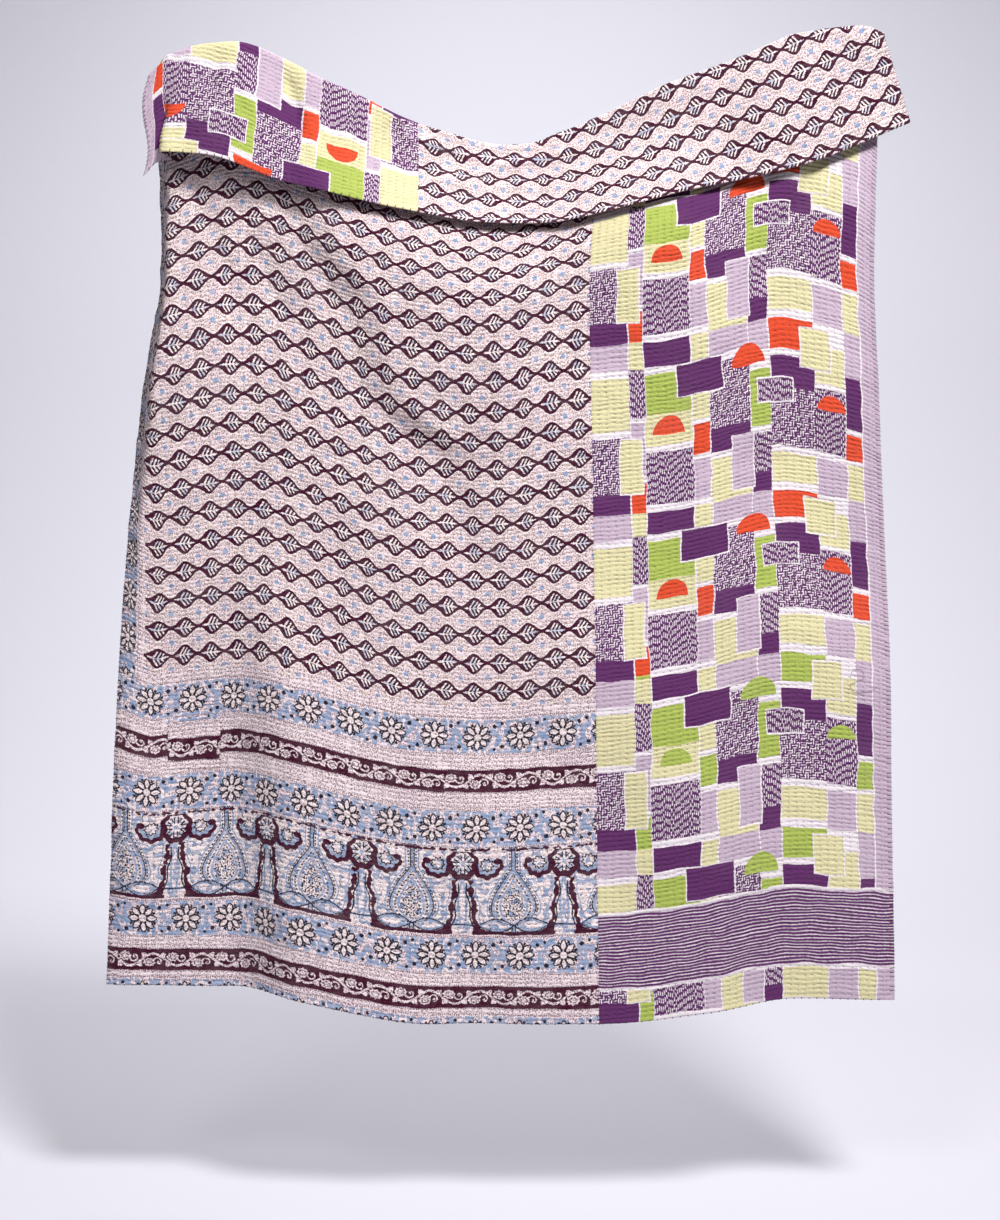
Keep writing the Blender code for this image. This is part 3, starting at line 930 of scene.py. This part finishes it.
def swags(x, post, height):
    """Masks of the plum, blue and dots of the leaves that hang beside the pillars' rosettes."""
    swag_x, swag_y = post - SWAG_PLACE[0], height - SWAG_PLACE[1]
    swag = (swag_x * swag_x * 0.9 + swag_y * swag_y).root()
    ruffle = (swag_x.angle(swag_y) * 9.0).cosine() * SWAG_RUFFLE
    under = (distance(swag_x, swag_y - 0.0042) + ruffle) > SWAG_INNER
    edge = swag + ruffle
    plum = under & (edge < SWAG_PLUM) & (height < SWAG_TOP)
    inner, outer, dots = (
        edge.near(middle, reach) & (height < top) for middle, reach, top in (*SWAG_BLUE, SWAG_DOTS)
    )
    hook_x, hook_y = x - HOOK_PLACE[0], height - HOOK_PLACE[1]
    hook = (hook_x * hook_x * 0.5 + hook_y * hook_y) < HOOK_RADIUS**2
    return plum | hook, inner | outer, dots


# Leaves at the foot of an arch, and the plum lines below and above the band
LEAVES_HEIGHT, LEAVES_REACH = 0.0175, 0.0600
LEAVES_BLUE, LEAVES_DOTS = (0.0088, 0.0026), (0.0122, 0.0011)
BASE_LINE, TOP_LINE, RAGGED = (0.0035, 0.0030), (0.1520, 0.0016), 0.0070


def arches(paint, across, height):
    """Masks of the plum, blue and dark dots of the band of arches."""
    x = abs((across - ARCH_START).cell(ARCH_PITCH))
    post = ARCH_PITCH / 2 - x
    ragged = (paint.noise(140.0, 0.0, shift=17.0) - 0.5) * RAGGED
    flame_blue, flame_dots, flame = flames(paint, x, height)
    pillar_plum, pillar_blue, pillar_dots = pillars(post, height, ragged)
    cap_plum, cap_blue, cap_dots, cap = caps(post, height)
    swag_plum, swag_blue, swag_dots = swags(x, post, height)
    plum = pillar_plum | cap_plum | swag_plum
    blue = flame_blue | pillar_blue | cap_blue | swag_blue
    dots = flame_dots | pillar_dots | cap_dots | swag_dots

    swell = ((x / LEAVES_REACH).at_most(1.0) * math.pi).sine()
    leaf = abs(height - LEAVES_HEIGHT)
    blue = blue | leaf.near(swell * LEAVES_BLUE[0], LEAVES_BLUE[1])
    dots = dots | leaf.near(swell * LEAVES_DOTS[0], LEAVES_DOTS[1])
    corner = (height + post * 0.50) < 0.0290
    plum = plum | (corner & (post > 0.0190)) | (height.near(*BASE_LINE) & (post > 0.0170))
    plum = plum | height.near(TOP_LINE[0], TOP_LINE[1] + ragged)
    blotch = paint.noise(95.0, 0.0, shift=9.0) - (cap < 0.0200) * 0.5
    dots = dots | (blotch.near(0.628, 0.011) & (flame < 0.0100))
    return plum, blue | (blotch > 0.64), dots & (1.0 - plum)


def block_print(name, first_motif, first_row, border):
    """The block-printed cloth: chains above, bands of rosettes, vines and arches below."""
    paint = Paint(name)
    across, up = paint.across_and_up()
    fade = paint.noise(45.0, 3.0, shift=1.0)
    specks = (paint.specks(270.0) < 0.29) & (paint.noise(60.0, 1.0, shift=8.0) > 0.36)
    field = up > FIELD_BOTTOM
    if border:
        field = field & (across > FIELD_LEFT)
    masks = chain(paint, across, up, first_motif, first_row)
    plum, blue, ochre, cream, core = (mask & field for mask in masks)

    # Each band's middle height, and how far this place is from it
    lowest, low, high, top = ROSETTE_BANDS
    middle = (up > ROSETTE_SPLITS[1]).pick(low, high)
    middle = (up > ROSETTE_SPLITS[2]) * (top - high) + middle
    middle = (up < ROSETTE_SPLITS[0]) * (lowest - low) + middle
    off = up - middle
    along = across + ROSETTE_START
    in_band = abs(off) < ROSETTE_HALF
    if border:
        side_edge, side_middle, side_bottom, squeeze = SIDE_BAND
        in_side = (across < side_edge) & (up > side_bottom)
        along = along + (up - along) * in_side
        off = off + ((across - side_middle) * squeeze - off) * in_side
        in_band = in_band | in_side
    black_mask, blue_mask, petals = rosettes(paint, along, off)
    black = (black_mask & in_band) | (core * 0.8)
    blue = blue | (blue_mask & in_band)
    cream = cream | (petals & in_band * 0.5)

    vine_middle = (up > VINE_SPLIT).pick(*VINE_BANDS)
    plum = plum | vine(across, up - vine_middle)

    height = up - ARCH_BOTTOM
    in_arches = height.between(0.0, ARCH_HEIGHT)
    arch_plum, arch_blue, dots = arches(paint, across, height)
    plum = plum | (arch_plum & in_arches)
    blue = blue | (arch_blue & in_arches)
    black = black | (dots & in_arches)
    cream = cream | in_arches * 0.6

    # Rows of small ticks along the edges of the bands
    edge = abs(off).near(*ROSETTE_TICKS) | abs(up - vine_middle).near(*VINE_TICKS)
    ticks = edge & across.stripes(TICK_PITCH, 0.45)
    if border:
        side = across.near(*SIDE_TICKS) & (up > SIDE_TICKS_BOTTOM)
        ticks = ticks | (side & up.stripes(TICK_PITCH, 0.5))

    ground = paint.mix(GROUND, CREAM, (paint.noise(14.0, 2.0, shift=4.0) - 0.35) * 1.2)
    colour = paint.inked(
        ground,
        (SPECK, specks * 0.80),
        (CREAM, cream * 0.75),
        (OCHRE, ochre * 0.60),
        (BLUE, blue * (fade * 0.7 + 0.50)),
        (SPECK, ticks * 0.75),
        (PLUM, plum * (fade * 0.12 + 0.92)),
        (BLACK, black * 0.97),
    )
    return paint.finish(colour, BLOCK_GROOVE)


# Colours of the geometric print
WHITE = (0.78, 0.70, 0.74)
PURPLE = (0.112, 0.030, 0.120)
LILAC = (0.53, 0.41, 0.51)
YELLOW = (0.68, 0.62, 0.37)
LIME = (0.38, 0.46, 0.10)
ORANGE = (0.68, 0.075, 0.030)
COLOURS = {"W": WHITE, "P": PURPLE, "L": LILAC, "Y": YELLOW, "G": LIME, "O": ORANGE}
BASKET, DASHES = 0.6, 0.3
TEXTURES = {"B": ("P", BASKET), "D": ("P", DASHES)}

# The print repeats upwards, and leans. Each strip of it: left and right edge, then colour and
# share of the repeat of every block from the bottom up. B is basket texture and D is dashes on
# purple. Each patch lies over them: left, right, bottom and top in the repeat, and its colour. So do
# the half rounds: across, up from the repeat's middle, and radius. Below LIME_BELOW they are lime
REPEAT, BACK_REPEAT_SHIFT = 0.298, 0.110
STRIPS = (
    (0.000, 0.070, "P12 B34 W4 Y30 W4 L16"),
    (0.070, 0.098, "O18 W4 L32 W3 D28 Y15"),
    (0.098, 0.186, "W4 D32 W4 Y18 G24 W4 P14"),
    (0.186, 0.218, "W4 L24 W3 O18 W3 Y48"),
    (0.218, 0.300, "Y26 W4 P14 B38 W4 L14"),
    (0.300, 0.342, "P12 D24 W4 G32 W11 L17"),
    (0.342, 0.424, "W5 Y18 W4 B34 P18 W4 O17"),
    (0.424, 0.478, "L22 W4 D38 W3 Y21 W12"),
    (0.478, 0.508, "Y22 W3 O15 W4 P30 L26"),
    (0.508, 0.560, "L100"),
)
PATCHES = (
    (0.052, 0.090, -0.112, -0.016, "Y"),
    (0.160, 0.246, 0.052, 0.106, "P"),
    (0.262, 0.304, -0.136, -0.040, "L"),
    (0.318, 0.382, 0.012, 0.050, "D"),
    (0.400, 0.452, 0.074, 0.138, "Y"),
)
GAP, LEAN = 0.0026, 0.10
HALF_ROUNDS = ((0.142, -0.010, 0.030), (0.300, 0.078, 0.034), (0.452, 0.006, 0.026))
LIME_BELOW, GAPS_BEFORE = 0.600, 0.52
BASKET_PITCH, BASKET_SHARE = 0.0042, 0.44
DASH_ACROSS, DASH_UP, DASH_WIDTH, DASH_LENGTH = 0.0034, 0.0130, 0.52, 0.62
DASH_SCATTER = (12.9898, 7.0)
STRIPED_BAND, STRIPE_PITCH, STRIPE_SHARE = (0.060, 0.186), 0.0054, 0.34
BAND_EDGES = ((0.1880, 0.0024), (0.0580, 0.0024))


def strip_colour(paint, blocks, share):
    """One strip's colour from the share of the repeat. Its alpha tells the texture."""
    node = paint.tree.nodes.new("ShaderNodeValToRGB")
    ramp = node.color_ramp
    ramp.interpolation = "CONSTANT"
    ramp.elements.remove(ramp.elements[1])
    start = 0.0
    for i, block in enumerate(blocks.split()):
        kind, size = block[0], int(block[1:])
        base, texture = TEXTURES.get(kind, (kind, 1.0))
        element = ramp.elements[0] if i == 0 else ramp.elements.new(start / 100.0)
        element.position = start / 100.0
        element.color = (*COLOURS[base], texture)
        start += size
    paint.link(share.socket, node.inputs[0])
    return node.outputs["Color"], Number(paint.tree, node.outputs["Alpha"])


def geometric_print(name, shift):
    """The geometric cloth: strips of blocks, with a striped band near the bottom."""
    paint = Paint(name)
    across, up = paint.across_and_up(wobble=0.0006, waver=0.0030)
    share = ((up + shift) / REPEAT + across * LEAN).fraction()
    colour, texture = strip_colour(paint, STRIPS[0][2], share)
    gap = across.near(STRIPS[0][1], GAP / 2)
    for left, right, blocks in STRIPS[1:]:
        beyond = across > left
        strip, kind = strip_colour(paint, blocks, share)
        colour = paint.mix(colour, strip, beyond)
        texture = texture + (kind - texture) * beyond
        gap = gap | across.near(left, GAP / 2)
    height = (share - 0.5) * REPEAT
    for left, right, bottom, top, kind in PATCHES:
        ink, weave = TEXTURES.get(kind, (kind, 1.0))
        edged = across.between(left - GAP, right + GAP) & height.between(bottom - GAP, top + GAP)
        inked = across.between(left, right) & height.between(bottom, top)
        colour = paint.mix(paint.mix(colour, WHITE, edged), COLOURS[ink], inked)
        texture = texture + (1.0 - texture) * edged
        texture = texture + (weave - 1.0) * inked
        gap = gap & (1.0 - edged)
    basket_kind, dash_kind = texture.near(BASKET, 0.1), texture.near(DASHES, 0.1)

    cell = BASKET_PITCH * 2
    flat = (((across / cell).floor() + (up / cell).floor()) * 0.5).fraction() > 0.25
    level = up.stripes(BASKET_PITCH, BASKET_SHARE)
    upright = across.stripes(BASKET_PITCH, BASKET_SHARE)
    basket = level * flat + upright * (1.0 - flat)
    basket = basket & (paint.noise(200.0, 0.0, shift=6.0) > 0.36)
    column = (across / DASH_ACROSS).floor()
    shuffle = (column * DASH_SCATTER[0]).sine() * DASH_SCATTER[1]
    dash = ((up / DASH_UP) + shuffle).fraction() < DASH_LENGTH
    dash = dash & across.stripes(DASH_ACROSS, DASH_WIDTH)
    woven = (WHITE, (basket & basket_kind) * 0.95)
    colour = paint.inked(colour, woven, (WHITE, (dash & dash_kind) * 0.90))
    plain = texture > 0.9

    # Half rounds laid over the strips, once in each repeat
    for x, y, radius in HALF_ROUNDS:
        away = (across - x).power(2.0) + (height - y).power(2.0)
        half_round = (away < radius * radius) & (height > y)
        colour = paint.mix(colour, ORANGE, half_round)
        gap = gap & (1.0 - half_round)
    red = paint.tree.nodes.new("ShaderNodeSeparateColor")
    paint.link(colour, red.inputs[0])
    is_orange = (Number(paint.tree, red.outputs[0]) > 0.65) & (
        Number(paint.tree, red.outputs[1]) < 0.10
    )
    colour = paint.mix(colour, LIME, is_orange & (up < LIME_BELOW))
    colour = paint.mix(colour, WHITE, gap & plain & (across < GAPS_BEFORE))

    # The striped band, and a white line above and below it
    in_band = up.between(*STRIPED_BAND)
    stripe = up.stripes(STRIPE_PITCH, STRIPE_SHARE)
    edge = up.lines(BAND_EDGES)
    striped = (WHITE, (in_band & stripe) * 0.78)
    colour = paint.inked(colour, (PURPLE, in_band), striped, (WHITE, edge))
    return paint.finish(colour, GEOMETRIC_GROOVE)


# Threads and stitches. A running stitch rises between two points, and is longer on the block
# print. An overcast stitch goes round the edge on a slant, and a few are missing
PLUM_THREAD, GREY_THREAD = (0.085, 0.022, 0.040), (0.20, 0.19, 0.21)
THREAD_MOTTLE, THREAD_SHADES = 60.0, (0.6, 1.6)
STITCH_HALF, STITCH_LONGER, STITCH_SHAKE = (0.0017, 0.0025), 1.6, 0.0016
STITCH_WIDTH, STITCH_RISE, STITCH_SHOULDER, STITCH_ROOT = 0.00105, 0.00085, 0.00005, 0.0004
FIRST_STITCH_ROW, LAST_STITCH = 0.004, 0.006
OVERCAST_RADIUS, OVERCAST_SLANT, OVERCAST_LOST = 0.00085, 0.0012, 0.06
OVERCAST_OUT, OVERCAST_SUNK = 0.0006, 0.0002
TUBE_END = 0.35
STITCH_SEED, OVERCAST_SEED = 20, 41
CORNER_COLUMNS, CORNER_ROWS = 4, 5

# The loose thread: its bends on the flat quilt, and how high it lies
LOOSE_BENDS = (
    (1.352, 0.548), (1.358, 0.562), (1.372, 0.566), (1.378, 0.553), (1.366, 0.545),
    (1.352, 0.536), (1.362, 0.526), (1.384, 0.529), (1.398, 0.536),
)
LOOSE_LIFT, LOOSE_WAVE, LOOSE_RADIUS = 0.0013, 0.0006, 0.0004


def thread_material(name, colour):
    """Matt cotton thread, a little uneven in colour."""
    material, tree, shader = new_material(name)
    shader.inputs["Roughness"].default_value = 0.85
    shader.inputs["Sheen Weight"].default_value = 0.2
    noise = tree.nodes.new("ShaderNodeTexNoise")
    noise.inputs["Scale"].default_value = THREAD_MOTTLE
    mix = tree.nodes.new("ShaderNodeMix")
    mix.data_type = "RGBA"
    for slot, shade in zip((mix.inputs[6], mix.inputs[7]), THREAD_SHADES):
        slot.default_value = (*[min(c * shade, 1.0) for c in colour], 1.0)
    where = tree.nodes.new("ShaderNodeTexCoord")
    tree.links.new(where.outputs["Object"], noise.inputs["Vector"])
    tree.links.new(noise.outputs["Fac"], mix.inputs[0])
    tree.links.new(mix.outputs[2], shader.inputs["Base Color"])
    return material


def add_stitches(name, cloth, face, side, material):
    """Running stitches on one face: each a short thread that rises between two points."""
    random = np.random.default_rng(STITCH_SEED + side)
    rows = np.flatnonzero(cloth.row_kind == 0)
    heights = cloth.rows[rows]
    rows = rows[(heights > FIRST_STITCH_ROW) & (heights < QUILT_LENGTH - FIRST_STITCH_ROW)]
    offset = 0.0 if side > 0 else STITCH_PITCH / 2
    wanted = np.arange(offset + STITCH_PITCH, QUILT_WIDTH - LAST_STITCH, STITCH_PITCH)
    columns = np.unique(np.searchsorted(cloth.places, wanted).clip(3, len(cloth.places) - 4))
    at = face[np.ix_(rows, columns)]
    along = unit(face[np.ix_(rows, columns + 1)] - face[np.ix_(rows, columns - 1)])
    out = side * cloth.out[np.ix_(rows, columns)]
    aside = np.cross(out, along)
    shape = at.shape[:2] + (1,)
    at = at + along * random.uniform(-STITCH_SHAKE, STITCH_SHAKE, shape)
    places = cloth.places[columns]
    printed = places < FRONT_SEAM if side > 0 else places > BACK_SEAM
    longer = np.where(printed, STITCH_LONGER, 1.0)[None, :, None]
    half = random.uniform(*STITCH_HALF, shape) * longer
    corners = np.stack([
        at - along * half - out * STITCH_ROOT,
        at + along * half - out * STITCH_ROOT,
        at + out * STITCH_RISE,
        at + aside * STITCH_WIDTH + out * STITCH_SHOULDER,
        at - aside * STITCH_WIDTH + out * STITCH_SHOULDER,
    ], axis=2)
    count = shape[0] * shape[1]
    faces = np.array([[0, 4, 2], [0, 2, 3], [1, 2, 4], [1, 3, 2]])
    faces = faces[None] + 5 * np.arange(count)[:, None, None]
    stitches = add_mesh(name, corners, faces, material)


def edge_paths(cloth, front, back, turn, picked):
    """Paths of overcast stitches round one edge, which turn puts first along its own axis."""
    front, back, middle = turn(front), turn(back), turn(cloth.middle)
    out = turn(cloth.out)[0]
    ahead = np.roll(np.arange(front.shape[1]), -1)
    ahead[-1] = front.shape[1] - 1
    along = middle[0, ahead] - middle[0]
    along /= np.linalg.norm(along, axis=1, keepdims=True) + 1e-9
    beyond = unit(middle[0] - middle[2])
    front_in = front[2] * 0.5 + front[3] * 0.5
    back_in = back[2] * 0.5 + back[3] * 0.5
    slant = along * OVERCAST_SLANT
    path = np.stack([
        front_in - slant - out * OVERCAST_SUNK,
        front[2] - slant * 0.4 + out * OVERCAST_OUT,
        middle[0] + beyond * OVERCAST_OUT,
        back[2] + slant * 0.4 - out * OVERCAST_OUT,
        back_in + slant + out * OVERCAST_SUNK,
    ], axis=1)[picked]
    outs = np.stack([out, out, beyond, -out, -out], axis=1)[picked]
    return path, outs


def add_overcast(name, cloth, front, back, material):
    """Stitches over the quilt's four edges."""
    random = np.random.default_rng(OVERCAST_SEED)
    columns = np.arange(CORNER_COLUMNS, len(cloth.places) - CORNER_COLUMNS, 2)
    rows = np.arange(CORNER_ROWS, len(cloth.rows) - CORNER_ROWS, ROWS_PER_PITCH)
    sides = (
        (lambda grid: grid, columns),
        (lambda grid: grid[::-1], columns),
        (lambda grid: grid.transpose(1, 0, 2), rows),
        (lambda grid: grid.transpose(1, 0, 2)[::-1], rows),
    )
    paths, outs = [], []
    for turn, picked in sides:
        picked = picked[random.random(len(picked)) > OVERCAST_LOST]
        path, out = edge_paths(cloth, front, back, turn, picked)
        paths.append(path)
        outs.append(out)
    points, faces = tubes(np.concatenate(paths), np.concatenate(outs), OVERCAST_RADIUS)
    stitches = add_mesh(name, points, faces, material)


def add_loose_thread(cloth, face, material):
    """A loose end of thread that lies on the geometric panel."""
    across, up = np.array(LOOSE_BENDS).T
    steps = np.arange(len(LOOSE_BENDS))
    fine = np.linspace(0.0, steps[-1], 60)
    across, up = through(steps, across, fine), through(steps, up, fine)
    lift = LOOSE_LIFT + LOOSE_WAVE * np.sin(fine * 2.2)
    out = cloth.spot(cloth.out, across, up)
    path = cloth.spot(face, across, up) + out * lift[:, None]
    path[0] -= out[0] * LOOSE_LIFT
    curve = bpy.data.curves.new("loose_thread", "CURVE")
    curve.dimensions = "3D"
    curve.bevel_depth = LOOSE_RADIUS
    curve.bevel_resolution = 2
    spline = curve.splines.new("POLY")
    spline.points.add(len(path) - 1)
    for point, place in zip(spline.points, path):
        point.co = (*place, 1.0)
    curve.materials.append(material)
    thread = add_object("loose_thread", curve)
    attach(thread, "root")


# The studio's paper: half its width, where it starts and bends up, the bend's radius, its height
STUDIO_HALF_WIDTH, STUDIO_FRONT, STUDIO_BEND_STARTS = 9.0, -2.4, 2.2
STUDIO_BEND, STUDIO_HEIGHT = 1.8, 9.0
PAPER = (0.560, 0.555, 0.610)
AIR, AIR_STRENGTH = (0.93, 0.94, 1.0), 0.09

# Lights: name, place, aim, size, power and spread in degrees
LIGHTS = (
    ("key", (1.25, -3.6, 3.1), (0.0, 0.0, -0.6), 1.2, 345.0, 180.0),
    ("fill", (-1.5, -4.4, 2.4), (0.0, 0.0, -0.7), 1.4, 66.0, 180.0),
    ("floor", (0.0, 1.7, 2.6), (0.0, 1.6, -1.9), 3.0, 90.0, 128.0),
    ("backdrop_left", (-1.2, 0.9, 0.3), (-1.6, 4.0, 0.9), 1.4, 21.0, 180.0),
    ("backdrop_right", (1.2, 0.9, 0.3), (1.6, 4.0, 0.9), 1.4, 21.0, 180.0),
)


def add_studio():
    """A plain pale floor that curves up into a backdrop, as one smooth sheet."""
    profile = [(STUDIO_FRONT, 0.0), (STUDIO_BEND_STARTS, 0.0)]
    profile += [
        (STUDIO_BEND_STARTS + STUDIO_BEND * math.sin(a), STUDIO_BEND * (1.0 - math.cos(a)))
        for a in np.linspace(0.1, math.pi / 2, 12)
    ]
    profile.append((STUDIO_BEND_STARTS + STUDIO_BEND, STUDIO_HEIGHT))
    sides = (-STUDIO_HALF_WIDTH, STUDIO_HALF_WIDTH)
    points = [(x, y, FLOOR_HEIGHT + z) for y, z in profile for x in sides]
    faces = [(i, i + 1, i + 3, i + 2) for i in range(0, len(points) - 2, 2)]
    mesh = bpy.data.meshes.new("studio")
    mesh.from_pydata(points, [], faces)
    mesh.shade_smooth()
    material, _, shader = new_material("studio_paper")
    shader.inputs["Base Color"].default_value = (*PAPER, 1.0)
    shader.inputs["Roughness"].default_value = 0.95
    mesh.materials.append(material)
    studio = add_object("studio", mesh)


def add_lights():
    for name, place, aim, size, power, spread in LIGHTS:
        light = bpy.data.lights.new(name, "AREA")
        light.shape = "DISK"
        light.size = size
        light.energy = power
        light.spread = math.radians(spread)
        lamp = add_object(name, light)
        lamp.location = place
        lamp.rotation_euler = (Vector(aim) - Vector(place)).to_track_quat("-Z", "Y").to_euler()
        lamp.visible_camera = False
    world = bpy.data.worlds.new("studio_air")
    world.use_nodes = True
    sky = world.node_tree.nodes["Background"]
    sky.inputs["Color"].default_value = (*AIR, 1.0)
    sky.inputs["Strength"].default_value = AIR_STRENGTH
    bpy.context.scene.world = world


def add_camera():
    bpy.context.scene.view_settings.view_transform = "Standard"
    data = bpy.data.cameras.new("camera")
    data.lens = CAMERA_LENS
    data.sensor_width = 36.0
    data.shift_y = HORIZON_SHIFT
    camera = add_object("camera", data)
    camera.location = CAMERA_PLACE
    camera.rotation_euler = (math.pi / 2, 0.0, 0.0)
    bpy.context.scene.camera = camera


def main():
    cloth = Cloth()
    front = cloth.face(1, FRONT_SEAM)
    back = cloth.face(-1, BACK_SEAM)
    front_block = block_print("front_block_cloth", *FRONT_MOTIF, True)
    back_block = block_print("back_block_cloth", *BACK_MOTIF, False)
    front_geometric = geometric_print("front_geometric_cloth", 0.0)
    back_geometric = geometric_print("back_geometric_cloth", BACK_REPEAT_SHIFT)
    panels = (
        ("front_block_sheet", "front_block_print", "block_print_cloth", front, 1,
         0.0, FRONT_SEAM, front_block, lambda s: s),
        ("front_geometric_sheet", "front_geometric", "geometric_cloth", front, 1,
         FRONT_SEAM, QUILT_WIDTH, front_geometric, lambda s: s - FRONT_SEAM),
        ("back_geometric_sheet", "back_geometric", "geometric_cloth", back, -1,
         0.0, BACK_SEAM, back_geometric, lambda s: BACK_SEAM - s),
        ("back_block_sheet", "back_block_print", "block_print_cloth", back, -1,
         BACK_SEAM, QUILT_WIDTH, back_block, lambda s: QUILT_WIDTH - s),
    )
    for name, node, slot, face, side, low, high, material, place in panels:
        add_panel(name, node, cloth, face, side, low, high, material, place)
    thread = thread_material("plum_thread", PLUM_THREAD)
    add_patch(cloth, front, front_block)
    add_stitches("front_stitches", cloth, cloth.patched(front), 1, thread)
    add_stitches("back_stitches", cloth, back, -1, thread)
    add_overcast("edge_stitches", cloth, front, back, thread)
    add_loose_thread(cloth, front, thread_material("grey_thread", GREY_THREAD))
    add_studio()
    add_lights()
    add_camera()


main()
